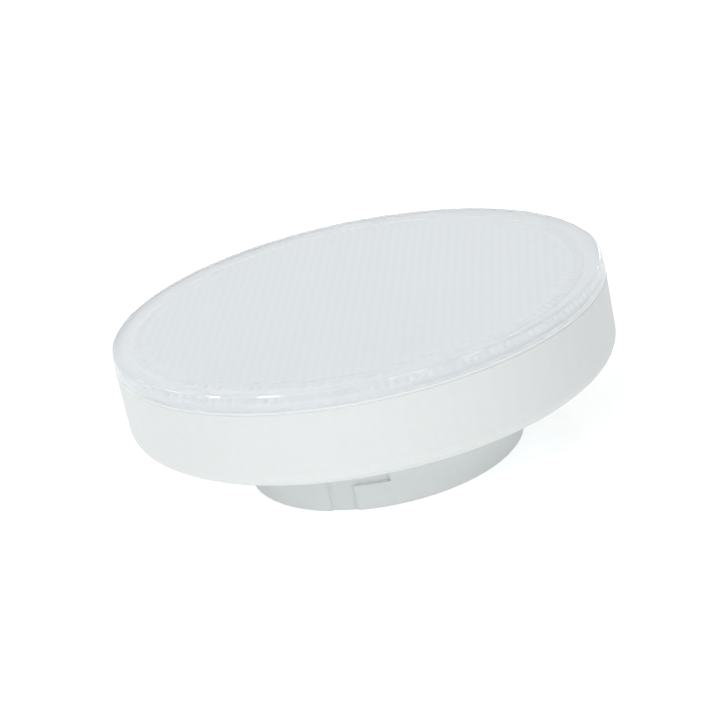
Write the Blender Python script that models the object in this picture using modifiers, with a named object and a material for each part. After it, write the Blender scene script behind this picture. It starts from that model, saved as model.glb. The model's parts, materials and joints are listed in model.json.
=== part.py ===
"""LED disc lamp with a twist-lock two-pin cap, light face up, standing on the flat end of its boss.

Units are metres and +Z is up. The origin is the centre of the boss end, so the lamp stands on Z = 0.
Pieces that rest on or fit in each other keep the named clearances between them.
"""

import math

import bmesh
import bpy
from mathutils import Matrix, Vector

# Outer form of the lamp
DISC_DIAMETER = 0.075
DISC_SIDE_HEIGHT = 0.0116
BOSS_DIAMETER = 0.0425
BOSS_HEIGHT = 0.0115
COVER_HEIGHT = 0.0027
DISC_FILLET = 0.0025
BOSS_EDGE_CHAMFER = 0.0003
RIM_CHAMFER = 0.00015

# Clearances
SEAT_GAP = 0.0003
SOLDER_GAP = 0.00015
EMBED = 0.0005

# Housing walls and inner features
SIDE_WALL = 0.0015
FLOOR_THICKNESS = 0.0016
BOSS_WALL = 0.0016
INNER_FILLET = 0.001
POST_COUNT = 3
POST_RADIUS = 0.003
RIB_PLACES = 12
RIB_THICKNESS = 0.001
RIB_DROP = 0.0018

# Twist-lock keyways in the boss, angles in degrees from the front towards +X
KEYWAY_COUNT = 2
KEYWAY_DEPTH = 0.0006
KEYWAY_START = -27.8
KEYWAY_CHANNEL = 11.5
KEYWAY_TWIST = 26.3
KEYWAY_LEDGE = 0.004
KEYWAY_ARM_HEIGHT = 0.0045
KEYWAY_BACKING = 0.0012

# Contact pins, on the X axis
PIN_SIDES = (("right", 0.0), ("left", 180.0))
PIN_STANDOFF = 0.00525
PIN_NECK_RADIUS = 0.0015
PIN_NECK_LENGTH = 0.0029
PIN_HEAD_RADIUS = 0.0025
PIN_HEAD_THICKNESS = 0.0012
PIN_DOME = 0.0005
PIN_SEAT_RADIUS = 0.0033
PIN_SEAT_HEIGHT = 0.001
PIN_COLLAR_RADIUS = 0.0024
PIN_COLLAR_THICKNESS = 0.0008
PIN_TAG_RADIUS = 0.0009
PIN_TAG_HEIGHT = 0.0014

# Cover
COVER_DRAFT = 0.0002
COVER_EDGE_RADIUS = 0.0004
COVER_PLATE = 0.0015
COVER_FILLET = 0.0017
PRISM_DEPTH = 0.00045
SKIRT_DEPTH = 0.003
SKIRT_THICKNESS = 0.001
SKIRT_LEAD = 0.0003
BEAD_HEIGHT = 0.0005
BEAD_RISE = 0.0014
BEAD_HALF_WIDTH = 0.0006

# Heat sink and light source board
SINK_THICKNESS = 0.001
SINK_RIM_HEIGHT = 0.0016
SINK_CORNER = 0.0008
BOARD_THICKNESS = 0.0012
BOARD_EDGE_GAP = 0.0012
SCREW_EDGE = 0.0065
WIRE_HOLE_RADIUS = 0.0024
OUTER_LED_COUNT = 12
OUTER_LED_EDGE = 0.0075
INNER_LED_COUNT = 6
INNER_LED_RADIUS = 0.013
LED_LENGTH = 0.0035
LED_WIDTH = 0.0028
LED_HEIGHT = 0.0008
LED_LIP = 0.0003
LED_DISH_DEPTH = 0.0003

# Board screws
SCREW_SHANK_RADIUS = 0.0012
SCREW_LENGTH = 0.0068
SCREW_POINT = 0.001
SCREW_TIP_RADIUS = 0.0004
SCREW_HEAD_RADIUS = 0.0022
SCREW_CROWN_RADIUS = 0.0014
SCREW_HEAD_HEIGHT = 0.0014
SCREW_SLOT_WIDTH = 0.0005
SCREW_SLOT_LENGTH = 0.0026
SCREW_SLOT_DEPTH = 0.0008

# Driver board and the stakes that hold it
DRIVER_THICKNESS = 0.0016
DRIVER_EDGE_GAP = 0.0008
STAKE_ANGLES = (122.0, 283.0, 337.0)
STAKE_EDGE = 0.0023
STAKE_BASE_RADIUS = 0.0016
STAKE_HEIGHT = 0.002
STAKE_PEG_RADIUS = 0.0008
STAKE_HEAD_HEIGHT = 0.0007

# Driver components
COMPONENT_EDGE = 0.001
CAPACITOR_RADIUS = 0.0035
CAPACITOR_RIM = 0.0004
CAPACITOR_CRIMP = 0.0014
INPUT_CAPACITOR_HEADROOM = 0.0014
OUTPUT_CAPACITOR_HEADROOM = 0.002
CAPACITOR_SPREAD = 27.0
FILM_CAPACITOR_SIZE = (0.007, 0.0034, 0.0075)
FILM_CAPACITOR_ANGLE = 92.0
FILM_CAPACITOR_ROUNDING = 0.0005
BRIDGE_SIZE = (0.0047, 0.0039, 0.0024)
BRIDGE_ANGLE = 45.0
CHIP_SIZE = (0.0049, 0.0039, 0.0015)
CHIP_ANGLE = 308.0
DIODE_SIZE = (0.0026, 0.0036, 0.002)
DIODE_ANGLE = 0.0
DIODE_INSET = 0.0055
RESISTOR_SIZE = (0.0032, 0.0016, 0.0007)
RESISTOR_ANGLES = (75.0, 268.0)
RESISTOR_INSET = 0.0066
FUSE_BODY_RADIUS = 0.0011
FUSE_BODY_LENGTH = 0.005
FUSE_CAP_LENGTH = 0.001
FUSE_CAP_ROUNDING = 0.0004
FUSE_WAIST_DEPTH = 0.0002
FUSE_SPAN = 0.0076
FUSE_LEAD_RADIUS = 0.0003
FUSE_ANGLE = 252.0
LEG_THICKNESS = 0.0002
LEG_WIDTH = 0.0005
LEG_REACH = 0.0009
LEG_KNEE = 0.00025

# Transformer, its winding axis along X, beside the two electrolytic capacitors
TRANSFORMER_CLEARANCE = 0.0008
CORE_LENGTH = 0.0088
CORE_WIDTH = 0.0088
CORE_DEPTH = 0.004
CORE_CENTRE_LEG = 0.002
CORE_OUTER_LEG = 0.0011
CORE_BACK = 0.0011
BOBBIN_WALL = 0.0004
BOBBIN_FLANGE = 0.0005
BOBBIN_HEADROOM = 0.003
WINDING_ROUNDING = 0.0007

# Wires
WIRE_RADIUS = 0.0005
MAINS_PAD_EDGE = 0.0017
LED_WIRE_PAD_EDGE = 0.0024
LED_WIRE_PAD_ANGLE = 22.0
LED_WIRE_SPACING = 0.0016
LED_WIRE_REACH = 0.0045
# Shares of the way inwards and of the way down at the points of a mains wire
MAINS_WIRE_ROUTE = ((0.0, 0.0), (0.25, 0.0), (0.62, 0.08), (0.9, 0.27), (1.0, 0.55), (1.0, 1.0))
# Shares of the way inwards and of the way up at the points of a light board wire's rise
LED_WIRE_RISE = ((0.0, 0.0), (0.0, 0.6), (0.15, 0.91), (0.5, 1.0))

# Roundness of turned shapes
FINE_STEPS = 72
BOARD_STEPS = 56
DRIVER_STEPS = 48
SMALL_STEPS = 20
SCREW_STEPS = 16
PEG_STEPS = 12
SECTOR_STEP = 3.0
WIRE_STEPS = 4
WELD_DISTANCE = 0.000001
SMOOTH_ANGLE = math.radians(32.0)

# Radii worked out from the sizes above
disc_radius = DISC_DIAMETER / 2
boss_radius = BOSS_DIAMETER / 2
side_inner = disc_radius - SIDE_WALL
boss_inner = boss_radius - BOSS_WALL
keyway_floor = boss_radius - KEYWAY_DEPTH
keyway_backing = keyway_floor - KEYWAY_BACKING
pin_circle = boss_radius + PIN_STANDOFF
skirt_outer = side_inner - SEAT_GAP
skirt_inner = skirt_outer - SKIRT_THICKNESS
bead_outer = skirt_outer + BEAD_HEIGHT
groove_radius = bead_outer + SEAT_GAP
field_radius = skirt_inner - COVER_FILLET
sink_radius = side_inner - SEAT_GAP
board_radius = skirt_inner - BOARD_EDGE_GAP
screw_circle = board_radius - SCREW_EDGE
outer_led_circle = board_radius - OUTER_LED_EDGE
pilot_radius = SCREW_SHANK_RADIUS + SEAT_GAP
driver_radius = min(keyway_backing, boss_inner) - DRIVER_EDGE_GAP
stake_circle = driver_radius - STAKE_EDGE
capacitor_circle = driver_radius - COMPONENT_EDGE - CAPACITOR_RADIUS

# Heights worked out from the sizes above
flange_top = BOSS_HEIGHT + FLOOR_THICKNESS
seam = BOSS_HEIGHT + DISC_SIDE_HEIGHT
cover_bottom = seam + SEAT_GAP / 2
cover_top = seam + COVER_HEIGHT
plate_under = cover_top - COVER_PLATE
prism_tips = plate_under - PRISM_DEPTH
skirt_bottom = seam - SKIRT_DEPTH
bead_height = skirt_bottom + BEAD_RISE
sink_rim_top = skirt_bottom - SEAT_GAP
sink_bottom = sink_rim_top - SINK_RIM_HEIGHT
sink_top = sink_bottom + SINK_THICKNESS
post_top = sink_bottom - SEAT_GAP
rib_top = post_top - RIB_DROP
board_bottom = sink_top + SEAT_GAP
board_top = board_bottom + BOARD_THICKNESS
driver_bottom = FLOOR_THICKNESS + STAKE_HEIGHT + SEAT_GAP
driver_top = driver_bottom + DRIVER_THICKNESS
component_seat = driver_top + SEAT_GAP
chip_seat = driver_top + SOLDER_GAP
component_room = sink_bottom - component_seat
bobbin_height = component_room - BOBBIN_HEADROOM
pin_collar_bottom = flange_top + PIN_SEAT_HEIGHT + SEAT_GAP
pin_collar_top = pin_collar_bottom + PIN_COLLAR_THICKNESS
pin_tag_top = pin_collar_top + PIN_TAG_HEIGHT
pin_head_top = BOSS_HEIGHT - PIN_NECK_LENGTH


def clear_scene():
    for obj in list(bpy.data.objects):
        bpy.data.objects.remove(obj, do_unlink=True)


def new_collection(name):
    made = bpy.data.collections.new(name)
    bpy.context.scene.collection.children.link(made)
    return made


def new_material(name, colour, roughness, metallic=0.0, transmission=0.0):
    made = bpy.data.materials.new(name)
    made.use_nodes = True
    shader = made.node_tree.nodes["Principled BSDF"]
    shader.inputs["Base Color"].default_value = (*colour, 1.0)
    shader.inputs["Roughness"].default_value = roughness
    shader.inputs["Metallic"].default_value = metallic
    shader.inputs["Transmission Weight"].default_value = transmission
    made.diffuse_color = (*colour, 1.0)
    return made


def add_object(name, data, collection, material=None):
    obj = bpy.data.objects.new(name, data)
    collection.objects.link(obj)
    if material:
        data.materials.append(material)
    else:
        obj.hide_render = True
        obj.display_type = "WIRE"
    return obj


def polar(radius, degrees):
    """X and Y of a point on a circle, the angle counted from +X towards +Y."""
    return radius * math.cos(math.radians(degrees)), radius * math.sin(math.radians(degrees))


def arc(centre, radius, start, end, pieces):
    """Points of an arc, ends included, the angles in degrees."""
    turn = (end - start) / pieces
    return [
        (centre[0] + offset[0], centre[1] + offset[1])
        for offset in (polar(radius, start + turn * i) for i in range(pieces + 1))
    ]


def turned(name, profile, steps, collection, material=None):
    """A turned solid about Z. The profile of (radius, height) points runs down its outer side."""
    mesh = bpy.data.meshes.new(name)
    edges = [(i, i + 1) for i in range(len(profile) - 1)]
    if profile[0][0] > 0:
        edges.append((len(profile) - 1, 0))
    mesh.from_pydata([(r, 0, z) for r, z in profile], edges, [])
    obj = add_object(name, mesh, collection, material)
    screw = obj.modifiers.new("turn", "SCREW")
    screw.steps = steps
    screw.render_steps = steps
    screw.use_merge_vertices = True
    screw.merge_threshold = WELD_DISTANCE
    return obj


def cylinder(name, radius, bottom, top, steps, collection, material=None):
    """An upright cylinder on the Z axis, between two heights."""
    mesh = bpy.data.meshes.new(name)
    form = bmesh.new()
    bmesh.ops.create_cone(
        form,
        cap_ends=True,
        segments=steps,
        radius1=radius,
        radius2=radius,
        depth=top - bottom,
        matrix=Matrix.Translation((0, 0, (top + bottom) / 2)),
    )
    form.to_mesh(mesh)
    form.free()
    return add_object(name, mesh, collection, material)


def box(name, size, centre, collection, material=None, rounding=0.0):
    """A box with its faces square to the axes, its edges rounded if asked."""
    mesh = bpy.data.meshes.new(name)
    form = bmesh.new()
    bmesh.ops.create_cube(form, size=1.0, matrix=Matrix.LocRotScale(Vector(centre), None, Vector(size)))
    form.to_mesh(mesh)
    form.free()
    obj = add_object(name, mesh, collection, material)
    if rounding:
        bevel = obj.modifiers.new("rounding", "BEVEL")
        bevel.width = rounding
        bevel.segments = 1
    return obj


def mesh_from_curve(obj):
    """The curve object made a mesh object with its caps welded, in the same place."""
    bpy.context.view_layer.update()
    mesh = bpy.data.meshes.new_from_object(obj.evaluated_get(bpy.context.evaluated_depsgraph_get()))
    form = bmesh.new()
    form.from_mesh(mesh)
    bmesh.ops.remove_doubles(form, verts=form.verts, dist=WELD_DISTANCE)
    bmesh.ops.recalc_face_normals(form, faces=form.faces)
    form.to_mesh(mesh)
    form.free()
    name = obj.name
    collection = obj.users_collection[0]
    material = obj.data.materials[0] if obj.data.materials else None
    matrix = obj.matrix_world.copy()
    bpy.data.objects.remove(obj, do_unlink=True)
    mesh.materials.clear()
    made = add_object(name, mesh, collection, material)
    made.matrix_world = matrix
    return made


def extruded(name, outline, bottom, top, collection, material=None):
    """A flat outline in X and Y made a solid between two heights."""
    curve = bpy.data.curves.new(name, "CURVE")
    curve.dimensions = "2D"
    curve.fill_mode = "BOTH"
    curve.extrude = (top - bottom) / 2
    spline = curve.splines.new("POLY")
    spline.points.add(len(outline) - 1)
    for point, (x, y) in zip(spline.points, outline):
        point.co = (x, y, 0, 1)
    spline.use_cyclic_u = True
    obj = add_object(name, curve, collection, material)
    obj.location.z = (top + bottom) / 2
    return mesh_from_curve(obj)


def sector(name, inner, outer, start, end, bottom, top, collection):
    """A solid sector of a ring, the angles in degrees from the front towards +X."""
    pieces = max(2, round((end - start) / SECTOR_STEP))
    outline = arc((0, 0), outer, start - 90, end - 90, pieces)
    outline += arc((0, 0), inner, end - 90, start - 90, pieces)
    return extruded(name, outline, bottom, top, collection)


def smooth_route(points, pieces):
    """A smooth curve through the route's points, as a list with this many pieces between each two."""
    ends = [points[0] * 2 - points[1], *points, points[-1] * 2 - points[-2]]
    made = [points[0]]
    for before, start, end, after in zip(ends, ends[1:], ends[2:], ends[3:]):
        for i in range(1, pieces + 1):
            t = i / pieces
            made.append(
                (
                    start * 2
                    + (end - before) * t
                    + (before * 2 - start * 5 + end * 4 - after) * t**2
                    + (start * 3 - before - end * 3 + after) * t**3
                )
                / 2
            )
    return made


def tube(name, points, radius, collection, material=None):
    """A round wire along the points."""
    curve = bpy.data.curves.new(name, "CURVE")
    curve.dimensions = "3D"
    curve.bevel_depth = radius
    curve.bevel_resolution = 2
    curve.use_fill_caps = True
    spline = curve.splines.new("POLY")
    spline.points.add(len(points) - 1)
    for point, place in zip(spline.points, points):
        point.co = (*place, 1)
    return add_object(name, curve, collection, material)


def combine(obj, operation, other):
    """Joins or cuts the object with another object, or with all objects of a collection."""
    boolean = obj.modifiers.new(operation.lower(), "BOOLEAN")
    boolean.operation = operation
    boolean.solver = "EXACT"
    if isinstance(other, bpy.types.Collection):
        boolean.operand_type = "COLLECTION"
        boolean.collection = other
    else:
        boolean.object = other


def place(obj, radius, degrees, height=0.0, turn=None):
    """Moves an object out from the axis, turned to face outwards unless another turn is given."""
    x, y = polar(radius, degrees)
    obj.location = (x, y, height)
    obj.rotation_euler.z = math.radians(degrees if turn is None else turn)
    return obj


def make_real(obj):
    """Replaces the object's mesh with what its modifiers make of it, shaded smooth up to sharp edges."""
    bpy.context.view_layer.update()
    mesh = bpy.data.meshes.new_from_object(obj.evaluated_get(bpy.context.evaluated_depsgraph_get()))
    obj.modifiers.clear()
    obj.data = mesh
    mesh.shade_smooth()
    mesh.set_sharp_from_angle(angle=SMOOTH_ANGLE)
    return obj


def housing_profile():
    """Outer side from the rim down to the centre of the boss end, then back up the inside."""
    rim = [(disc_radius - RIM_CHAMFER, seam), (disc_radius, seam - RIM_CHAMFER)]
    fillet_centre = (disc_radius - DISC_FILLET, BOSS_HEIGHT + DISC_FILLET)
    boss = [
        (boss_radius, BOSS_HEIGHT),
        (boss_radius, BOSS_EDGE_CHAMFER),
        (boss_radius - BOSS_EDGE_CHAMFER, 0),
        (0, 0),
        (0, FLOOR_THICKNESS),
        (boss_inner, FLOOR_THICKNESS),
        (boss_inner, flange_top),
    ]
    corner = (side_inner - INNER_FILLET, flange_top + INNER_FILLET)
    groove = [
        (side_inner, bead_height - BEAD_HALF_WIDTH - SEAT_GAP),
        (groove_radius, bead_height - BEAD_HALF_WIDTH / 2),
        (groove_radius, bead_height + BEAD_HALF_WIDTH / 2),
        (side_inner, bead_height + BEAD_HALF_WIDTH + SEAT_GAP),
    ]
    mouth = [(side_inner, seam - RIM_CHAMFER), (side_inner + RIM_CHAMFER, seam)]
    outside = rim + arc(fillet_centre, DISC_FILLET, 0, -90, 6) + boss
    inside = arc(corner, INNER_FILLET, -90, 0, 3) + groove + mouth
    return outside + inside


def add_housing(parts, helpers, material):
    """One white moulding: side wall, flange, hollow boss with keyways, posts, ribs and stakes."""
    additions = bpy.data.collections.new("housing_additions")
    cuts = bpy.data.collections.new("housing_cuts")
    helpers.children.link(additions)
    helpers.children.link(cuts)
    for i in range(POST_COUNT):
        angle = post_angle(i)
        post = cylinder(f"post_{i + 1}", POST_RADIUS, flange_top - EMBED, post_top, SMALL_STEPS, additions)
        place(post, screw_circle, angle)
        pilot_bottom = board_top - SCREW_LENGTH
        pilot = cylinder(f"pilot_{i + 1}", pilot_radius, pilot_bottom, post_top + EMBED, SCREW_STEPS, cuts)
        place(pilot, screw_circle, angle)
    for angle in rib_angles():
        length = side_inner - boss_radius + EMBED
        size = (length, RIB_THICKNESS, rib_top - flange_top + EMBED)
        rib = box(f"rib_{angle:.0f}", size, (0, 0, (rib_top + flange_top - EMBED) / 2), additions)
        place(rib, boss_radius + length / 2, angle)
    for side, angle in PIN_SIDES:
        seat_top = flange_top + PIN_SEAT_HEIGHT
        seat_bottom = flange_top - EMBED
        seat = cylinder(f"pin_seat_{side}", PIN_SEAT_RADIUS, seat_bottom, seat_top, SMALL_STEPS, additions)
        place(seat, pin_circle, angle)
        hole_radius = PIN_NECK_RADIUS + SEAT_GAP
        hole_bottom = BOSS_HEIGHT - EMBED
        hole = cylinder(f"pin_hole_{side}", hole_radius, hole_bottom, seat_top + EMBED, SMALL_STEPS, cuts)
        place(hole, pin_circle, angle)
    for i, angle in enumerate(STAKE_ANGLES):
        peg_top = driver_top + SEAT_GAP
        stake = turned(
            f"stake_{i + 1}",
            [
                (0, peg_top + STAKE_HEAD_HEIGHT),
                (STAKE_BASE_RADIUS / 2, peg_top + STAKE_HEAD_HEIGHT),
                (STAKE_BASE_RADIUS, peg_top + STAKE_HEAD_HEIGHT / 2),
                (STAKE_BASE_RADIUS, peg_top),
                (STAKE_PEG_RADIUS, peg_top),
                (STAKE_PEG_RADIUS, driver_bottom - SEAT_GAP),
                (STAKE_BASE_RADIUS, driver_bottom - SEAT_GAP),
                (STAKE_BASE_RADIUS, FLOOR_THICKNESS - EMBED),
                (0, FLOOR_THICKNESS - EMBED),
            ],
            PEG_STEPS,
            additions,
        )
        place(stake, stake_circle, angle)
    arm_top = KEYWAY_LEDGE + KEYWAY_ARM_HEIGHT
    for i in range(KEYWAY_COUNT):
        start = KEYWAY_START + i * 360 / KEYWAY_COUNT
        channel_end = start + KEYWAY_CHANNEL
        arm_end = start + KEYWAY_TWIST
        backing_edge = math.degrees(KEYWAY_BACKING / keyway_floor)
        sector(
            f"keyway_backing_{i + 1}",
            keyway_backing,
            boss_inner + EMBED,
            start - backing_edge,
            arm_end + backing_edge,
            FLOOR_THICKNESS - EMBED,
            arm_top + KEYWAY_BACKING,
            additions,
        )
        outside = boss_radius + EMBED
        sector(f"keyway_channel_{i + 1}", keyway_floor, outside, start, channel_end, -EMBED, arm_top, cuts)
        sector(f"keyway_arm_{i + 1}", keyway_floor, outside, start, arm_end, KEYWAY_LEDGE, arm_top, cuts)
    housing = turned("housing", housing_profile(), FINE_STEPS, parts, material)
    combine(housing, "UNION", additions)
    combine(housing, "DIFFERENCE", cuts)
    make_real(housing)


def add_cover(parts, material):
    """Clear moulding: plate with a raised field for the prisms, thick rim, filleted skirt and snap bead."""
    top_radius = disc_radius - COVER_DRAFT
    edge_centre = (top_radius - COVER_EDGE_RADIUS, cover_top - COVER_EDGE_RADIUS)
    profile = [(0, cover_top)]
    profile += arc(edge_centre, COVER_EDGE_RADIUS, 90, 0, 3)
    profile += [
        (disc_radius, cover_bottom),
        (skirt_outer, cover_bottom),
        (skirt_outer, bead_height + BEAD_HALF_WIDTH),
        (bead_outer, bead_height),
        (skirt_outer, bead_height - BEAD_HALF_WIDTH),
        (skirt_outer, skirt_bottom + SKIRT_LEAD),
        (skirt_outer - SKIRT_LEAD, skirt_bottom),
        (skirt_inner, skirt_bottom),
    ]
    profile += arc((field_radius, plate_under - COVER_FILLET), COVER_FILLET, 0, 90, 2)
    profile += [(field_radius - PRISM_DEPTH, prism_tips), (0, prism_tips)]
    make_real(turned("cover", profile, FINE_STEPS, parts, material))


def add_contact_pins(parts, material):
    """Two turned pins with mushroom heads, held in the flange by an inner collar."""
    dome = [
        (PIN_HEAD_RADIUS * math.cos(turn), pin_head_top - PIN_HEAD_THICKNESS - PIN_DOME * math.sin(turn))
        for turn in (math.pi / 2 * i / 3 for i in range(3))
    ]
    profile = [
        (0, pin_tag_top),
        (PIN_TAG_RADIUS, pin_tag_top),
        (PIN_TAG_RADIUS, pin_collar_top),
        (PIN_COLLAR_RADIUS, pin_collar_top),
        (PIN_COLLAR_RADIUS, pin_collar_bottom),
        (PIN_NECK_RADIUS, pin_collar_bottom),
        (PIN_NECK_RADIUS, pin_head_top),
        (PIN_HEAD_RADIUS, pin_head_top),
        *dome,
        (0, pin_head_top - PIN_HEAD_THICKNESS - PIN_DOME),
    ]
    for side, angle in PIN_SIDES:
        pin = turned(f"contact_pin_{side}", profile, SMALL_STEPS, parts, material)
        place(make_real(pin), pin_circle, angle)


def board_holes(helpers):
    """The cutters for the screw holes and the wire hole, through both the heat sink and the board."""
    holes = bpy.data.collections.new("board_holes")
    helpers.children.link(holes)
    bottom = sink_bottom - EMBED
    top = board_top + EMBED
    for i in range(POST_COUNT):
        hole = cylinder(f"screw_hole_{i + 1}", pilot_radius, bottom, top, SCREW_STEPS, holes)
        place(hole, screw_circle, post_angle(i))
    cylinder("wire_hole", WIRE_HOLE_RADIUS, bottom, top, SMALL_STEPS, holes)
    return holes


def add_heat_sink(parts, holes, material):
    """A pressed aluminium pan on the posts, its rim under the cover's skirt."""
    corner_centre = (sink_radius - SINK_CORNER, sink_bottom + SINK_CORNER)
    profile = [
        (0, sink_top),
        (sink_radius - SINK_THICKNESS, sink_top),
        (sink_radius - SINK_THICKNESS, sink_rim_top),
        (sink_radius, sink_rim_top),
    ]
    profile += arc(corner_centre, SINK_CORNER, 0, -90, 3)
    profile.append((0, sink_bottom))
    sink = turned("heat_sink", profile, BOARD_STEPS, parts, material)
    combine(sink, "DIFFERENCE", holes)
    make_real(sink)


def add_led_board(parts, helpers, holes, board_material, led_material):
    """The aluminium-core board and its two rings of packages, each with a dished top."""
    board = cylinder("led_board", board_radius, board_bottom, board_top, BOARD_STEPS, parts, board_material)
    combine(board, "DIFFERENCE", holes)
    make_real(board)
    size = (LED_LENGTH, LED_WIDTH, LED_HEIGHT)
    package = box("led_01", size, (0, 0, LED_HEIGHT / 2), parts, led_material)
    dish_size = (LED_LENGTH - 2 * LED_LIP, LED_WIDTH - 2 * LED_LIP, 2 * LED_DISH_DEPTH)
    dish = box("led_dish", dish_size, (0, 0, LED_HEIGHT), helpers)
    combine(package, "DIFFERENCE", dish)
    make_real(package)
    rings = [(outer_led_circle, OUTER_LED_COUNT), (INNER_LED_RADIUS, INNER_LED_COUNT)]
    places = [
        (radius, (i + 0.5) * 360 / count)
        for radius, count in rings
        for i in range(count)
    ]
    for i, (radius, angle) in enumerate(places):
        obj = package
        if i:
            obj = bpy.data.objects.new(f"led_{i + 1:02d}", package.data)
            parts.objects.link(obj)
        place(obj, radius, angle, board_top + SOLDER_GAP)


def add_board_screws(parts, helpers, material):
    """Cross-head screws through the board and the heat sink into the posts."""
    profile = [
        (0, SCREW_HEAD_HEIGHT),
        (SCREW_CROWN_RADIUS, SCREW_HEAD_HEIGHT),
        (SCREW_HEAD_RADIUS, SCREW_HEAD_HEIGHT / 2),
        (SCREW_HEAD_RADIUS, 0),
        (SCREW_SHANK_RADIUS, 0),
        (SCREW_SHANK_RADIUS, SCREW_POINT - SCREW_LENGTH),
        (SCREW_TIP_RADIUS, -SCREW_LENGTH),
        (0, -SCREW_LENGTH),
    ]
    screw = turned("board_screw_1", profile, SCREW_STEPS, parts, material)
    slots = bpy.data.collections.new("screw_slots")
    helpers.children.link(slots)
    slot_centre = (0, 0, SCREW_HEAD_HEIGHT)
    box("slot_x", (SCREW_SLOT_LENGTH, SCREW_SLOT_WIDTH, 2 * SCREW_SLOT_DEPTH), slot_centre, slots)
    box("slot_y", (SCREW_SLOT_WIDTH, SCREW_SLOT_LENGTH, 2 * SCREW_SLOT_DEPTH), slot_centre, slots)
    combine(screw, "DIFFERENCE", slots)
    make_real(screw)
    for i in range(POST_COUNT):
        obj = screw
        if i:
            obj = bpy.data.objects.new(f"board_screw_{i + 1}", screw.data)
            parts.objects.link(obj)
        place(obj, screw_circle, post_angle(i), board_top + SEAT_GAP)


def add_driver_board(parts, helpers, material):
    """A round board in the boss, over the stakes that are melted down to hold it."""
    holes = bpy.data.collections.new("stake_holes")
    helpers.children.link(holes)
    for i, angle in enumerate(STAKE_ANGLES):
        radius = STAKE_PEG_RADIUS + SEAT_GAP
        low, high = driver_bottom - EMBED, driver_top + EMBED
        hole = cylinder(f"stake_hole_{i + 1}", radius, low, high, PEG_STEPS, holes)
        place(hole, stake_circle, angle)
    board = cylinder("driver_board", driver_radius, driver_bottom, driver_top, DRIVER_STEPS, parts, material)
    combine(board, "DIFFERENCE", holes)
    make_real(board)


def add_can(name, headroom, angle, parts, material):
    """An electrolytic capacitor in its sleeve, standing at the driver board's edge under the heat sink."""
    rim = CAPACITOR_RIM
    height = component_room - headroom
    profile = [
        (0, height - rim / 2),
        (CAPACITOR_RADIUS - 2 * rim, height - rim / 2),
        (CAPACITOR_RADIUS - rim, height),
        (CAPACITOR_RADIUS, height - rim),
        (CAPACITOR_RADIUS, CAPACITOR_CRIMP + rim),
        (CAPACITOR_RADIUS - rim, CAPACITOR_CRIMP),
        (CAPACITOR_RADIUS, CAPACITOR_CRIMP - rim),
        (CAPACITOR_RADIUS, rim),
        (CAPACITOR_RADIUS - rim, 0),
        (0, 0),
    ]
    can = make_real(turned(name, profile, SMALL_STEPS, parts, material))
    place(can, capacitor_circle, angle, component_seat)


def add_legged_chip(name, size, legs_per_side, parts, helpers, material):
    """A moulded package with bent legs along its two X sides, its feet on Z = 0."""
    length, width, height = size
    body = box(name, (width, length, height), (0, 0, height / 2 + LEG_THICKNESS), parts, material)
    knee = width / 2 + LEG_KNEE
    middle = height / 2 + LEG_THICKNESS
    outline = [
        (width / 2 - EMBED, middle),
        (knee, middle),
        (knee, 0),
        (width / 2 + LEG_REACH, 0),
        (width / 2 + LEG_REACH, LEG_THICKNESS),
        (knee + LEG_THICKNESS, LEG_THICKNESS),
        (knee + LEG_THICKNESS, middle + LEG_THICKNESS),
        (width / 2 - EMBED, middle + LEG_THICKNESS),
    ]
    leg = extruded(f"{name}_legs", outline, -LEG_WIDTH / 2, LEG_WIDTH / 2, helpers)
    leg.data.transform(Matrix.Rotation(math.pi / 2, 4, "X"))
    pitch = length / legs_per_side
    leg.data.transform(Matrix.Translation((0, (pitch - length) / 2, 0)))
    leg.matrix_world = Matrix.Identity(4)
    if legs_per_side > 1:
        row = leg.modifiers.new("row", "ARRAY")
        row.count = legs_per_side
        row.use_relative_offset = False
        row.use_constant_offset = True
        row.constant_offset_displace = (0, pitch, 0)
    mirror = leg.modifiers.new("other_side", "MIRROR")
    mirror.merge_threshold = WELD_DISTANCE
    combine(body, "UNION", leg)
    return make_real(body)


def add_fuse_resistor(parts, helpers, material):
    """An axial resistor above the driver board, its leads bent down to it."""
    rise = FUSE_BODY_RADIUS + SEAT_GAP
    bend = FUSE_SPAN / 2 - FUSE_BODY_LENGTH / 2 - FUSE_LEAD_RADIUS
    bend = min(bend, rise)
    left = arc((-FUSE_SPAN / 2 + bend, rise - bend), bend, 180, 90, 3)
    right = arc((FUSE_SPAN / 2 - bend, rise - bend), bend, 90, 0, 3)
    route = [(-FUSE_SPAN / 2, 0), *left, *right, (FUSE_SPAN / 2, 0)]
    if bend == rise:
        route = route[1:-1]
    leads = mesh_from_curve(tube("fuse_leads", [(x, 0, z) for x, z in route], FUSE_LEAD_RADIUS, helpers))
    half = FUSE_BODY_LENGTH / 2
    neck = half - FUSE_CAP_LENGTH
    shoulder = FUSE_BODY_RADIUS - FUSE_CAP_ROUNDING
    waist = FUSE_BODY_RADIUS - FUSE_WAIST_DEPTH
    profile = [
        (0, half),
        (shoulder, half),
        (FUSE_BODY_RADIUS, half - FUSE_CAP_ROUNDING),
        (FUSE_BODY_RADIUS, neck),
        (waist, neck - FUSE_CAP_ROUNDING),
        (waist, FUSE_CAP_ROUNDING - neck),
        (FUSE_BODY_RADIUS, -neck),
        (FUSE_BODY_RADIUS, FUSE_CAP_ROUNDING - half),
        (shoulder, -half),
        (0, -half),
    ]
    body = make_real(turned("fuse_resistor", profile, SCREW_STEPS, parts, material))
    body.data.transform(Matrix.Translation((0, 0, rise)) @ Matrix.Rotation(math.pi / 2, 4, "Y"))
    combine(body, "UNION", leads)
    make_real(body)
    radius = driver_radius - COMPONENT_EDGE - FUSE_SPAN / 3
    place(body, radius, FUSE_ANGLE, component_seat, FUSE_ANGLE + 90)


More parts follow.
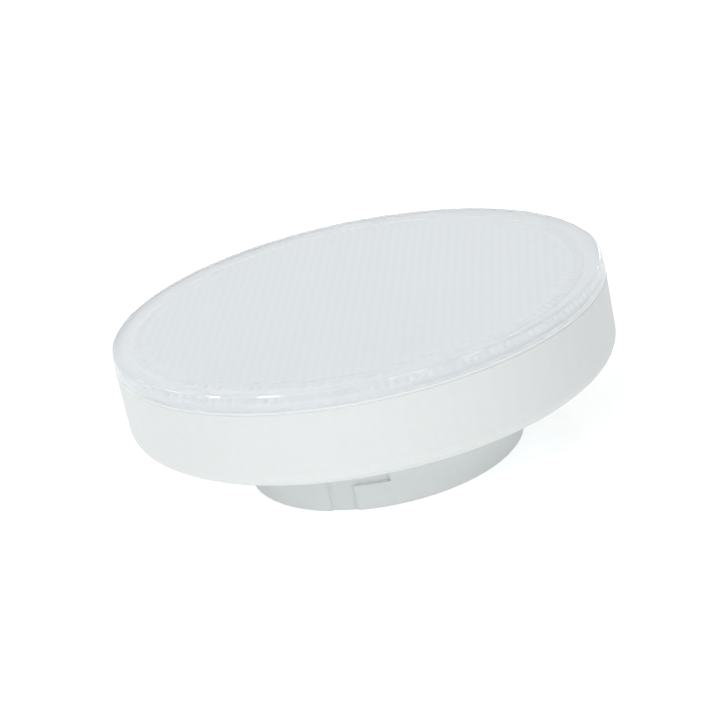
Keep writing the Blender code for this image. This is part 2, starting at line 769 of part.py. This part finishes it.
def add_transformer(parts, helpers, ferrite, bobbin_material, copper):
    """Two E-shaped core halves meet inside a bobbin that carries the winding."""
    half_length = CORE_LENGTH / 2
    half_width = CORE_WIDTH / 2
    window = half_length - CORE_BACK
    middle = component_seat + bobbin_height / 2
    meeting = SEAT_GAP / 2
    e_outline = [
        (meeting, half_width),
        (half_length, half_width),
        (half_length, -half_width),
        (meeting, -half_width),
        (meeting, CORE_OUTER_LEG - half_width),
        (window, CORE_OUTER_LEG - half_width),
        (window, -CORE_CENTRE_LEG / 2),
        (meeting, -CORE_CENTRE_LEG / 2),
        (meeting, CORE_CENTRE_LEG / 2),
        (window, CORE_CENTRE_LEG / 2),
        (window, half_width - CORE_OUTER_LEG),
        (meeting, half_width - CORE_OUTER_LEG),
    ]
    low, high = middle - CORE_DEPTH / 2, middle + CORE_DEPTH / 2
    right = extruded("transformer_core_right", e_outline, low, high, parts, ferrite)
    left = extruded("transformer_core_left", [(-x, y) for x, y in e_outline], low, high, parts, ferrite)
    hole_width = CORE_CENTRE_LEG + 2 * SEAT_GAP
    hole_depth = CORE_DEPTH + 2 * SEAT_GAP
    drum_width = hole_width + 2 * BOBBIN_WALL
    drum_depth = hole_depth + 2 * BOBBIN_WALL
    flange_width = CORE_WIDTH - 2 * CORE_OUTER_LEG - 2 * SEAT_GAP
    flange_face = window - SEAT_GAP
    drum_size = (2 * flange_face - BOBBIN_FLANGE, drum_width, drum_depth)
    bobbin = box("transformer_bobbin", drum_size, (0, 0, middle), parts, bobbin_material)
    flanges = bpy.data.collections.new("bobbin_flanges")
    helpers.children.link(flanges)
    for side in (-1, 1):
        centre = (side * (flange_face - BOBBIN_FLANGE / 2), 0, middle)
        box(f"flange_{side}", (BOBBIN_FLANGE, flange_width, bobbin_height), centre, flanges)
    combine(bobbin, "UNION", flanges)
    bore_size = (CORE_LENGTH, hole_width, hole_depth)
    combine(bobbin, "DIFFERENCE", box("bobbin_bore", bore_size, (0, 0, middle), helpers))
    winding_length = 2 * (flange_face - BOBBIN_FLANGE - SOLDER_GAP)
    winding_depth = bobbin_height - 2 * SEAT_GAP
    winding_size = (winding_length, flange_width - SEAT_GAP, winding_depth)
    winding = box("transformer_winding", winding_size, (0, 0, middle), parts, copper, WINDING_ROUNDING)
    inside_size = (CORE_LENGTH, drum_width + 2 * SOLDER_GAP, drum_depth + 2 * SOLDER_GAP)
    combine(winding, "DIFFERENCE", box("winding_bore", inside_size, (0, 0, middle), helpers))
    cans_reach = capacitor_circle * math.cos(math.radians(CAPACITOR_SPREAD)) - CAPACITOR_RADIUS
    for piece in (right, left, bobbin, winding):
        make_real(piece).location.x = TRANSFORMER_CLEARANCE + half_length - cans_reach


def add_mains_wires(parts, materials):
    """From each pin's tag over the flange and down into the boss, to a pad near the board's edge."""
    pad = driver_radius - MAINS_PAD_EDGE
    height = pin_collar_top + WIRE_RADIUS + SEAT_GAP
    start = pin_circle - PIN_TAG_RADIUS - SEAT_GAP
    drop = height - component_seat
    for (side, angle), material in zip(PIN_SIDES, materials):
        outwards = Vector((*polar(1.0, angle), 0))
        points = [
            outwards * (start - (start - pad) * inwards) + Vector((0, 0, height - drop * down))
            for inwards, down in MAINS_WIRE_ROUTE
        ]
        tube(f"mains_wire_{side}", smooth_route(points, WIRE_STEPS), WIRE_RADIUS, parts, material)


def add_led_wires(parts, materials):
    """From the driver board up over the transformer and through the middle hole to the light board."""
    foot = Vector((*polar(driver_radius - LED_WIRE_PAD_EDGE, LED_WIRE_PAD_ANGLE), 0))
    along = foot.normalized()
    across = Vector((-along.y, along.x, 0))
    crossing = (component_seat + bobbin_height + sink_bottom) / 2
    rise = crossing - component_seat
    over = board_top + SEAT_GAP + WIRE_RADIUS
    for sign, name, material in zip((-1, 1), ("negative", "positive"), materials):
        side = across * (sign * LED_WIRE_SPACING / 2)
        base = foot + side
        middle = along * (WIRE_RADIUS * 2) + side
        route = [
            base - along * (foot.length * inwards) + Vector((0, 0, component_seat + rise * up))
            for inwards, up in LED_WIRE_RISE
        ]
        route += [
            middle + Vector((0, 0, crossing + WIRE_RADIUS)),
            side + Vector((0, 0, sink_top)),
            side + Vector((0, 0, board_top)) - along * (WIRE_RADIUS * 1.2),
            side - along * (LED_WIRE_REACH * 0.5) + Vector((0, 0, over)),
            side - along * LED_WIRE_REACH + Vector((0, 0, over)),
        ]
        tube(f"led_wire_{name}", smooth_route(route, WIRE_STEPS), WIRE_RADIUS, parts, material)


def post_angle(i):
    return 90 + i * 360 / POST_COUNT


def rib_angles():
    """Every rib place that no pin and no post stands on."""
    taken = [post_angle(i) % 360 for i in range(POST_COUNT)] + [angle for _, angle in PIN_SIDES]
    step = 360 / RIB_PLACES
    return [i * step for i in range(RIB_PLACES) if all(abs(i * step - other) > step / 2 for other in taken)]


def main():
    clear_scene()
    parts = new_collection("led_disc_lamp")
    helpers = new_collection("cutters")
    clear = new_material("clear_plastic", (0.93, 0.95, 0.96), 0.08, transmission=1.0)
    white = new_material("white_plastic", (0.86, 0.87, 0.86), 0.45)
    nickel = new_material("nickel_plating", (0.72, 0.7, 0.66), 0.25, metallic=1.0)
    aluminium = new_material("aluminium", (0.78, 0.79, 0.8), 0.4, metallic=1.0)
    mask = new_material("white_solder_mask", (0.88, 0.88, 0.86), 0.35)
    phosphor = new_material("led_package", (0.9, 0.82, 0.45), 0.4)
    steel = new_material("zinc_plated_steel", (0.65, 0.66, 0.68), 0.35, metallic=1.0)
    laminate = new_material("board_laminate", (0.1, 0.32, 0.16), 0.4)
    sleeve = new_material("capacitor_sleeve", (0.03, 0.04, 0.07), 0.3)
    resin = new_material("yellow_resin", (0.72, 0.5, 0.08), 0.4)
    epoxy = new_material("black_epoxy", (0.03, 0.03, 0.03), 0.5)
    ferrite = new_material("ferrite", (0.09, 0.09, 0.1), 0.6)
    phenolic = new_material("bobbin_plastic", (0.12, 0.1, 0.09), 0.45)
    copper = new_material("enamelled_copper", (0.62, 0.28, 0.1), 0.35)
    lacquer = new_material("resistor_lacquer", (0.25, 0.42, 0.4), 0.4)
    insulation = {
        name: new_material(f"{name}_insulation", colour, 0.45)
        for name, colour in (
            ("red", (0.6, 0.05, 0.04)),
            ("black", (0.04, 0.04, 0.04)),
            ("white", (0.8, 0.8, 0.78)),
            ("blue", (0.05, 0.15, 0.5)),
        )
    }

    add_housing(parts, helpers, white)
    add_cover(parts, clear)
    add_contact_pins(parts, nickel)
    holes = board_holes(helpers)
    add_heat_sink(parts, holes, aluminium)
    add_led_board(parts, helpers, holes, mask, phosphor)
    add_board_screws(parts, helpers, steel)

    add_driver_board(parts, helpers, laminate)
    add_can("input_capacitor", INPUT_CAPACITOR_HEADROOM, 180 + CAPACITOR_SPREAD, parts, sleeve)
    add_can("output_capacitor", OUTPUT_CAPACITOR_HEADROOM, 180 - CAPACITOR_SPREAD, parts, sleeve)
    length, width, height = FILM_CAPACITOR_SIZE
    size = (width, length, height)
    film = box("film_capacitor", size, (0, 0, height / 2), parts, resin, FILM_CAPACITOR_ROUNDING)
    edge = driver_radius - COMPONENT_EDGE
    place(make_real(film), edge - width, FILM_CAPACITOR_ANGLE, component_seat)
    bridge = add_legged_chip("bridge_rectifier", BRIDGE_SIZE, 2, parts, helpers, epoxy)
    place(bridge, edge - BRIDGE_SIZE[1], BRIDGE_ANGLE, chip_seat)
    chip = add_legged_chip("driver_chip", CHIP_SIZE, 4, parts, helpers, epoxy)
    place(chip, edge - CHIP_SIZE[1], CHIP_ANGLE, chip_seat)
    diode = add_legged_chip("output_diode", DIODE_SIZE, 1, parts, helpers, epoxy)
    place(diode, edge - DIODE_INSET, DIODE_ANGLE, chip_seat)
    for i, angle in enumerate(RESISTOR_ANGLES):
        length, width, height = RESISTOR_SIZE
        resistor = box(f"chip_resistor_{i + 1}", (width, length, height), (0, 0, height / 2), parts, epoxy)
        place(make_real(resistor), edge - RESISTOR_INSET, angle, chip_seat)
    add_fuse_resistor(parts, helpers, lacquer)
    add_transformer(parts, helpers, ferrite, phenolic, copper)
    add_mains_wires(parts, (insulation["white"], insulation["blue"]))
    add_led_wires(parts, (insulation["black"], insulation["red"]))


main()
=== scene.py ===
import json
import math

import bmesh
import bpy
from mathutils import Matrix, Quaternion, Vector


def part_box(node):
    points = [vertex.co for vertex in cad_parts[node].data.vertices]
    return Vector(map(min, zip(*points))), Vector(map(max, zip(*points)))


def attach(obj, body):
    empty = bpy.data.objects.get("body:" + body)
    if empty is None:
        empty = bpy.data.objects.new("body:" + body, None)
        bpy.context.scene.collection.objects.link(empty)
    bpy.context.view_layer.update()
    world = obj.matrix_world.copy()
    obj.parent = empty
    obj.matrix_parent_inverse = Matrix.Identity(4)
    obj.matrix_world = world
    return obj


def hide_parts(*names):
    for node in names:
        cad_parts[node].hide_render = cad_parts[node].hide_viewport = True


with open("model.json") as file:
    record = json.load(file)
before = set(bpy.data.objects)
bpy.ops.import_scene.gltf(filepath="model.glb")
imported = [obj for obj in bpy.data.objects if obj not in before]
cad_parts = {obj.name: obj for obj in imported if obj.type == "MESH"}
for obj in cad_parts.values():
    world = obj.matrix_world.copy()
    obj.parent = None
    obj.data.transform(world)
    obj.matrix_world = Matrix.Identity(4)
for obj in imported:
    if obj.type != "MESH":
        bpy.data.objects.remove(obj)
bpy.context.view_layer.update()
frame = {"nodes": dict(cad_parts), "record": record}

# Camera of the photograph, in a frame of this many pixels
FRAME_PIXELS = (721, 720)
FOCAL_PIXELS = 2194.5
SEAM_PIXEL = (358.35, 310.41)
CAMERA_DISTANCE = 0.330
CAMERA_ELEVATION = math.radians(19.28)
CAMERA_ROLL = math.radians(12.02)
SENSOR_WIDTH = 36.0

# Strength of the world as light, and of the floor's own glow as light and as the camera sees it
WORLD_LIGHT = 0.3
FLOOR_LIGHT = 0.17
FLOOR_SEEN = 0.5

# Half the floor's width and the point that the lamps aim at, in metres
FLOOR_REACH = 4.0
LAMP_AIM = (0, 0, 0.015)

# Fine noise in the object's materials
NOISE_DETAIL = 4.0
RAMP_START = 0.3
RAMP_END = 0.7
LEAST_ROUGHNESS = 0.01

# Cover, in metres, inside the CAD cover's box
COVER_STEPS = 640
TOP_RADIUS = 0.0373
OUTER_RADIUS = 0.03748
PLATE_THICKNESS = 0.0015
FIELD_RADIUS = 0.0330
COVER_FILLET = 0.0017
FILLET_STEPS = 8
FLUTES = 160
FLUTE_DEPTH = 0.00025
SEAM_CONTACT = 0.00001
# SEAM_LINE is the height of the frosted strip at the seam, whose lighter colour is a painted highlight
SEAM_LINE = 0.0003
SHARP_ANGLE = math.radians(25)

# Top edge of the cover: inset and drop of the rings above and below its facet, and the facet's own rings
EDGE_ABOVE = ((0.00055, 0), (0.00048, 0), (0.00038, 0.00002))
EDGE_BELOW = ((0.00003, 0.0003), (0, 0.00042), (0, 0.0005))
FACET_RINGS = (-1, -0.85, 0.85, 1)
EDGE_INSET = 0.00016
EDGE_FACET = 0.00013
EDGE_TILT = math.radians(55)

# How the facet waves around the moulding, each part of its tilt with its size, waves in a turn and phase
EDGE_WAVE = math.radians(0.8)
TILT_WAVES = ((1.0, 5, 0.6), (0.7, 17, 2.0), (0.7, 31, 0.0))
INSET_WAVE = 0.3
INSET_RIPPLES = 31
INSET_GROUPS = 7
INSET_PHASE = 1

# Prism field under the plate
PRISM_PITCH = 0.001373
PRISM_DEPTH = 0.00013
PRISM_HIP = 0.43
PRISM_TURN = math.radians(-7.4)
FIELD_MARGIN = 0.0001
CELL_MARGIN = 0.0003
WHOLE_CELL = 0.98

# Snap skirt
SKIRT_OUTER = 0.0357
SKIRT_INNER = 0.0347
SKIRT_LEAD = 0.0003
SKIRT_FILLET_STEPS = 3
BEAD_OUTER = 0.0362
BEAD_RISE = 0.0014
BEAD_HALF = 0.0006

housing_low, housing_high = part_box("housing")
cover_low, cover_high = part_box("cover")
seam = housing_high.z
cover_top = cover_high.z
skirt_bottom = cover_low.z
plate_under = cover_top - PLATE_THICKNESS
fillet_centre = plate_under - COVER_FILLET
cover_turns = [math.tau * i / COVER_STEPS for i in range(COVER_STEPS)]

# Materials: the cover's, in the order of these indices, then those of the CAD pieces by the record's slots
CLEAR, PRISM_FIELD, FIELD_TOP, FROSTED_RIM, PAINTED_SHADE_UNDERSIDE, SEAM_STRIP_HIGHLIGHT = range(6)
POLISHED = {
    "colour": (0.99, 0.995, 1.0),
    "roughness": 0.02,
    "rough_spread": 0.008,
    "bump": 0.00000005,
    "variation": 0.002,
    "grain": 400.0,
    "IOR": 1.585,
    "Transmission Weight": 1.0,
}
FROSTED = {
    "roughness": 0.35,
    "rough_spread": 0.04,
    "bump": 0.000002,
    "variation": 0.004,
    "grain": 900.0,
    "IOR": 1.585,
    "Transmission Weight": 0.05,
}
COVER_MATERIALS = {
    "clear_plastic": POLISHED,
    "prism_field": {**FROSTED, "colour": (0.917, 0.961, 0.984), "Transmission Weight": 0.12},
    "field_top": POLISHED,
    "frosted_rim": {**FROSTED, "colour": (0.88, 0.917, 0.937)},
    # Darker colour on the rim's underside: painted shade, so that the far rim shows a dark crescent through
    # the clear plastic
    "painted_shade_underside": {**FROSTED, "colour": (0.85, 0.885, 0.905)},
    # Frosted strip at the seam with a lighter colour: a painted highlight line along the seam
    "seam_strip_painted_highlight": {**FROSTED, "colour": (0.94, 0.965, 0.96)},
}
MATERIALS = {
    "white_plastic": dict(colour=(0.865, 0.896, 0.893), roughness=0.42),
    "nickel_plating": dict(colour=(0.72, 0.7, 0.66), roughness=0.25, metallic=1.0),
    "aluminium": dict(colour=(0.78, 0.79, 0.8), roughness=0.4, metallic=1.0),
    "white_solder_mask": dict(colour=(0.88, 0.88, 0.86), roughness=0.35),
    "led_package": dict(colour=(0.9, 0.82, 0.45), roughness=0.4),
    "steel": dict(colour=(0.65, 0.66, 0.68), roughness=0.35, metallic=1.0),
    "board_laminate": dict(colour=(0.1, 0.32, 0.16), roughness=0.4),
    "capacitor_sleeve": dict(colour=(0.03, 0.04, 0.07), roughness=0.3),
    "yellow_resin": dict(colour=(0.72, 0.5, 0.08), roughness=0.4),
    "black_epoxy": dict(colour=(0.03, 0.03, 0.03), roughness=0.5),
    "ferrite": dict(colour=(0.09, 0.09, 0.1), roughness=0.6),
    "bobbin_plastic": dict(colour=(0.12, 0.1, 0.09), roughness=0.45),
    "enamelled_copper": dict(colour=(0.62, 0.28, 0.1), roughness=0.35),
    "resistor_lacquer": dict(colour=(0.25, 0.42, 0.4), roughness=0.4),
    "white_insulation": dict(colour=(0.8, 0.8, 0.78), roughness=0.45),
    "blue_insulation": dict(colour=(0.05, 0.15, 0.5), roughness=0.45),
    "black_insulation": dict(colour=(0.04, 0.04, 0.04), roughness=0.45),
    "red_insulation": dict(colour=(0.6, 0.05, 0.04), roughness=0.45),
}


def polar(radius, angle):
    return radius * math.cos(angle), radius * math.sin(angle)


def add_camera():
    """The photograph's viewpoint: in front, above the lamp's rim, rolled about the line of sight."""
    right = Vector((1, 0, 0))
    up = Vector((0, math.sin(CAMERA_ELEVATION), math.cos(CAMERA_ELEVATION)))
    back = right.cross(up)
    across = right * math.cos(CAMERA_ROLL) - up * math.sin(CAMERA_ROLL)
    upwards = right * math.sin(CAMERA_ROLL) + up * math.cos(CAMERA_ROLL)
    level = Matrix((across, upwards, back)).transposed()
    aim = Vector((SEAM_PIXEL[0] - FRAME_PIXELS[0] / 2, FRAME_PIXELS[1] / 2 - SEAM_PIXEL[1], -FOCAL_PIXELS))
    turn = aim.rotation_difference(Vector((0, 0, -1))).to_matrix()
    data = bpy.data.cameras.new("camera")
    data.sensor_width = SENSOR_WIDTH
    data.lens = FOCAL_PIXELS * SENSOR_WIDTH / FRAME_PIXELS[0]
    data.clip_start = 0.01
    camera = bpy.data.objects.new("camera", data)
    bpy.context.scene.collection.objects.link(camera)
    place = Matrix.Translation(Vector((0, 0, seam)) + back * CAMERA_DISTANCE)
    camera.matrix_world = place @ (level @ turn).to_4x4()
    bpy.context.scene.camera = camera


def new_shader(name):
    made = bpy.data.materials.new(name)
    made.use_nodes = True
    return made, made.node_tree.nodes, made.node_tree.links, made.node_tree.nodes["Principled BSDF"]


def finish_material(
    name,
    colour,
    roughness,
    metallic=0.0,
    variation=0.008,
    grain=900.0,
    bump=0.000003,
    rough_spread=0.05,
    **sockets,
):
    """A material whose colour, roughness and surface vary a little with fine noise in object space."""
    made, nodes, links, shader = new_shader(name)
    place = nodes.new("ShaderNodeTexCoord")
    noise = nodes.new("ShaderNodeTexNoise")
    noise.inputs["Scale"].default_value = grain
    noise.inputs["Detail"].default_value = NOISE_DETAIL
    links.new(place.outputs["Object"], noise.inputs["Vector"])
    ramp = nodes.new("ShaderNodeValToRGB")
    start, end = ramp.color_ramp.elements
    start.position = RAMP_START
    end.position = RAMP_END
    start.color = (*[c * (1 - variation) for c in colour], 1)
    end.color = (*[min(1, c * (1 + variation)) for c in colour], 1)
    links.new(noise.outputs["Fac"], ramp.inputs["Fac"])
    links.new(ramp.outputs["Color"], shader.inputs["Base Color"])
    spread = nodes.new("ShaderNodeMapRange")
    spread.inputs["To Min"].default_value = max(LEAST_ROUGHNESS, roughness - rough_spread)
    spread.inputs["To Max"].default_value = roughness + rough_spread
    links.new(noise.outputs["Fac"], spread.inputs["Value"])
    links.new(spread.outputs["Result"], shader.inputs["Roughness"])
    relief = nodes.new("ShaderNodeBump")
    relief.inputs["Distance"].default_value = bump
    links.new(noise.outputs["Fac"], relief.inputs["Height"])
    links.new(relief.outputs["Normal"], shader.inputs["Normal"])
    shader.inputs["Metallic"].default_value = metallic
    for socket, value in sockets.items():
        shader.inputs[socket].default_value = value
    return made


def add_world():
    """A plain world that is white where the camera, gloss or clear plastic sees it, and dimmer as light."""
    world = bpy.data.worlds.new("studio")
    bpy.context.scene.world = world
    world.use_nodes = True
    nodes, links = world.node_tree.nodes, world.node_tree.links
    background = nodes["Background"]
    background.inputs["Color"].default_value = (1, 1, 1, 1)
    path = nodes.new("ShaderNodeLightPath")
    seen = nodes.new("ShaderNodeMath")
    seen.operation = "MAXIMUM"
    links.new(path.outputs["Is Camera Ray"], seen.inputs[0])
    links.new(path.outputs["Is Glossy Ray"], seen.inputs[1])
    also = nodes.new("ShaderNodeMath")
    also.operation = "MAXIMUM"
    links.new(seen.outputs[0], also.inputs[0])
    links.new(path.outputs["Is Transmission Ray"], also.inputs[1])
    strength = nodes.new("ShaderNodeMapRange")
    strength.inputs["To Min"].default_value = WORLD_LIGHT
    strength.inputs["To Max"].default_value = 1.0
    links.new(also.outputs[0], strength.inputs["Value"])
    links.new(strength.outputs["Result"], background.inputs["Strength"])


def add_floor():
    """A pale floor that keeps the lamp's soft shadow."""
    mesh = bpy.data.meshes.new("floor")
    low, high = -FLOOR_REACH, FLOOR_REACH
    mesh.from_pydata([(low, low, 0), (high, low, 0), (high, high, 0), (low, high, 0)], [], [(0, 1, 2, 3)])
    floor = bpy.data.objects.new("floor", mesh)
    bpy.context.scene.collection.objects.link(floor)
    made, nodes, links, shader = new_shader("floor")
    shader.inputs["Base Color"].default_value = (0.92, 0.93, 0.93, 1)
    shader.inputs["Roughness"].default_value = 0.8
    shader.inputs["Emission Color"].default_value = (1, 1, 1, 1)
    path = nodes.new("ShaderNodeLightPath")
    lift = nodes.new("ShaderNodeMapRange")
    lift.inputs["To Min"].default_value = FLOOR_LIGHT
    lift.inputs["To Max"].default_value = FLOOR_SEEN
    links.new(path.outputs["Is Camera Ray"], lift.inputs["Value"])
    links.new(lift.outputs["Result"], shader.inputs["Emission Strength"])
    mesh.materials.append(made)


def add_lamps():
    """Rectangular lamps around and above the object, each with its place, width, length, roll and power."""
    for name, place, width, length, roll, power in (
        ("key", (-0.28, -0.53, 0.5), 0.4, 0.4, 0, 1.87),
        ("fill", (0.32, -0.55, 0.03), 0.3, 0.3, 0, 0.68),
        ("overhead left", (-0.19, 0.035, 0.74), 0.08, 0.36, math.radians(-12), 0.65),
        ("overhead right", (0.19, 0.035, 0.74), 0.08, 0.36, math.radians(12), 0.32),
        ("back left", (-0.43, 0.39, 0.54), 0.1, 0.5, math.radians(-30), 1.1),
        ("back right", (0.42, 0.32, 0.6), 0.1, 0.1, 0, 0.3),
        ("rear right", (0.34, 0.69, 0.2), 0.08, 0.24, math.radians(36), 0.3),
    ):
        lamp = bpy.data.lights.new(name, "AREA")
        lamp.shape = "RECTANGLE"
        lamp.size = width
        lamp.size_y = length
        lamp.energy = power
        holder = bpy.data.objects.new(name, lamp)
        bpy.context.scene.collection.objects.link(holder)
        holder.location = place
        aim = (Vector(LAMP_AIM) - Vector(place)).to_track_quat("-Z", "Y")
        holder.rotation_euler = (aim @ Quaternion((0, 0, 1), roll)).to_euler()
        # The low fill would stand as a white patch on the polished top when seen from behind
        holder.visible_glossy = name != "fill"


def edge_tilt(angle):
    """Elevation of the top edge's small facet, which waves a little around the moulding."""
    wave = sum(size * math.sin(count * angle + phase) for size, count, phase in TILT_WAVES)
    return EDGE_TILT + EDGE_WAVE * wave


def lens_profile(angle):
    """Radius and height of the cover's rings, from the top's edge down its outside to its fillet inside."""
    low = seam + SEAM_CONTACT
    tilt = edge_tilt(angle)
    ripple = math.sin(INSET_RIPPLES * angle) * math.sin(INSET_GROUPS * angle + INSET_PHASE)
    inset = EDGE_INSET * (1 + INSET_WAVE * ripple)
    middle = (TOP_RADIUS - inset, cover_top - inset)
    along = (EDGE_FACET * math.sin(tilt), EDGE_FACET * math.cos(tilt))
    start = math.asin((low - fillet_centre) / COVER_FILLET)
    flute = FLUTE_DEPTH * (0.5 - 0.5 * math.cos(FLUTES * angle))
    fillet = []
    for i in range(FILLET_STEPS + 1):
        turn = start + (math.pi / 2 - start) * i / FILLET_STEPS
        round_off = COVER_FILLET - flute * math.sin(math.pi * (i / FILLET_STEPS) ** 2)
        out, up = polar(round_off, turn)
        fillet.append((FIELD_RADIUS + out, fillet_centre + up))
    return [
        *[(TOP_RADIUS - inwards, cover_top - drop) for inwards, drop in EDGE_ABOVE],
        *[(middle[0] + along[0] * part, middle[1] - along[1] * part) for part in FACET_RINGS],
        *[(TOP_RADIUS - inwards, cover_top - drop) for inwards, drop in EDGE_BELOW],
        (OUTER_RADIUS, low + SEAM_LINE),
        (OUTER_RADIUS, low),
        *fillet,
    ]


def skirt_profile():
    """Radius and height of the snap skirt's rings, from its top inside down and round to its top outside."""
    bead = skirt_bottom + BEAD_RISE
    high = seam - SEAM_CONTACT
    start = math.asin((high - fillet_centre) / COVER_FILLET)
    inside = []
    for i in range(SKIRT_FILLET_STEPS, -1, -1):
        out, up = polar(COVER_FILLET, start * i / SKIRT_FILLET_STEPS)
        inside.append((FIELD_RADIUS + out, fillet_centre + up))
    return inside + [
        (SKIRT_INNER, skirt_bottom),
        (SKIRT_OUTER - SKIRT_LEAD, skirt_bottom),
        (SKIRT_OUTER, skirt_bottom + SKIRT_LEAD),
        (SKIRT_OUTER, bead - BEAD_HALF),
        (BEAD_OUTER, bead),
        (SKIRT_OUTER, bead + BEAD_HALF),
        (SKIRT_OUTER, high),
    ]


def add_rings(form, profile):
    """One ring of points for each point of the profile, which may change with the angle."""
    shapes = [profile(turn) for turn in cover_turns]
    rings = []
    for k in range(len(shapes[0])):
        places = [(*polar(shape[k][0], turn), shape[k][1]) for turn, shape in zip(cover_turns, shapes)]
        rings.append([form.verts.new(place) for place in places])
    return rings


def add_prism_cells(form):
    """A square grid of cells whose outermost corners lie on the field's edge. Returns the cells."""
    reach = FIELD_RADIUS - FIELD_MARGIN
    count = int(reach / PRISM_PITCH) + 2
    turn = Matrix.Rotation(PRISM_TURN, 2)
    corners = {}

    def corner(i, j):
        if (i, j) not in corners:
            place = turn @ Vector(((i + 0.5) * PRISM_PITCH, (j + 0.5) * PRISM_PITCH))
            if place.length > reach:
                place = place.normalized() * reach
            corners[i, j] = form.verts.new((place.x, place.y, plate_under))
        return corners[i, j]

    cells = []
    for i in range(-count, count):
        for j in range(-count, count):
            around = [(i, j), (i, j + 1), (i + 1, j + 1), (i + 1, j)]
            if min(math.hypot(a + 0.5, b + 0.5) for a, b in around) * PRISM_PITCH < reach - CELL_MARGIN:
                cell = form.faces.new([corner(a, b) for a, b in around])
                cell.material_index = PRISM_FIELD
                cells.append(cell)
    return cells


def raise_prisms(form, cells):
    """Turn each whole cell into a small hipped ridge that runs along the field's columns."""
    depth = Vector((0, 0, -PRISM_DEPTH))
    whole = [face for face in cells if face.calc_area() > WHOLE_CELL * PRISM_PITCH**2]
    for face in whole:
        first, second, third, fourth = face.verts
        ends = [
            first.co.lerp(second.co, part).lerp(fourth.co.lerp(third.co, part), 0.5) + depth
            for part in (PRISM_HIP, 1 - PRISM_HIP)
        ]
        near, far = [form.verts.new(end) for end in ends]
        for around in (
            (first, second, far, near),
            (second, third, far),
            (third, fourth, near, far),
            (fourth, first, near),
        ):
            form.faces.new(around).material_index = PRISM_FIELD
    bmesh.ops.delete(form, geom=whole, context="FACES_ONLY")


def add_lens(form):
    """The cover above the seam: a plate with a prism field inside, and a thick rim with a fluted fillet."""
    rings = add_rings(form, lens_profile)
    centre = form.verts.new((0, 0, cover_top))
    field_ring = [form.verts.new((*polar(FIELD_RADIUS, turn), cover_top)) for turn in cover_turns]
    fillet_start = len(rings) - FILLET_STEPS - 1
    # The band just above the seam is a frosted strip with the lighter material of a painted highlight line
    # The face under the rim gets the darker material of painted shade
    looks = {fillet_start - 2: SEAM_STRIP_HIGHLIGHT, fillet_start - 1: PAINTED_SHADE_UNDERSIDE}
    for i in range(COVER_STEPS):
        j = (i + 1) % COVER_STEPS
        form.faces.new((centre, field_ring[i], field_ring[j])).material_index = FIELD_TOP
        form.faces.new((field_ring[i], rings[0][i], rings[0][j], field_ring[j]))
        for k, (upper, lower) in enumerate(zip(rings, rings[1:])):
            face = form.faces.new((upper[i], lower[i], lower[j], upper[j]))
            face.material_index = looks.get(k, FROSTED_RIM if k >= fillet_start else CLEAR)
    cells = add_prism_cells(form)
    edges = list(dict.fromkeys(e for face in cells for e in face.edges if len(e.link_faces) == 1))
    last = rings[-1]
    edges += [form.edges.get((last[i], last[(i + 1) % COVER_STEPS])) for i in range(COVER_STEPS)]
    filled = bmesh.ops.triangle_fill(form, use_beauty=True, use_dissolve=False, edges=edges)
    for face in filled["geom"]:
        if isinstance(face, bmesh.types.BMFace):
            face.material_index = FROSTED_RIM
    for face in form.faces:
        face.smooth = True
    raise_prisms(form, cells)


def add_skirt(form):
    """The snap skirt under the seam, with its bead."""
    skirt = add_rings(form, lambda angle: skirt_profile())
    for i in range(COVER_STEPS):
        j = (i + 1) % COVER_STEPS
        for upper, lower in zip(skirt, skirt[1:] + skirt[:1]):
            form.faces.new((upper[i], lower[i], lower[j], upper[j])).smooth = True


def add_cover():
    """The clear moulding, a lens over its snap skirt, in place of the CAD cover."""
    form = bmesh.new()
    add_lens(form)
    add_skirt(form)
    bmesh.ops.recalc_face_normals(form, faces=form.faces)
    mesh = bpy.data.meshes.new("prismatic_cover")
    form.to_mesh(mesh)
    form.free()
    obj = bpy.data.objects.new("prismatic_cover", mesh)
    bpy.context.scene.collection.objects.link(obj)
    mesh.set_sharp_from_angle(angle=SHARP_ANGLE)
    for name, look in COVER_MATERIALS.items():
        mesh.materials.append(finish_material(name, **look))
    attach(obj, "root")
    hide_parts("cover")


def finish_nodes():
    """Better materials on the CAD pieces, by the record's slots. The cover's own slot is left out."""
    made = {name: finish_material(name, **look) for name, look in MATERIALS.items()}
    for row in frame["record"]["subparts"]:
        node = frame["nodes"][row["node"]]
        if row["material_slot"] in made:
            node.data.materials.clear()
            node.data.materials.append(made[row["material_slot"]])


bpy.context.scene.view_settings.view_transform = "Standard"
add_camera()
add_world()
add_floor()
add_lamps()
add_cover()
finish_nodes()
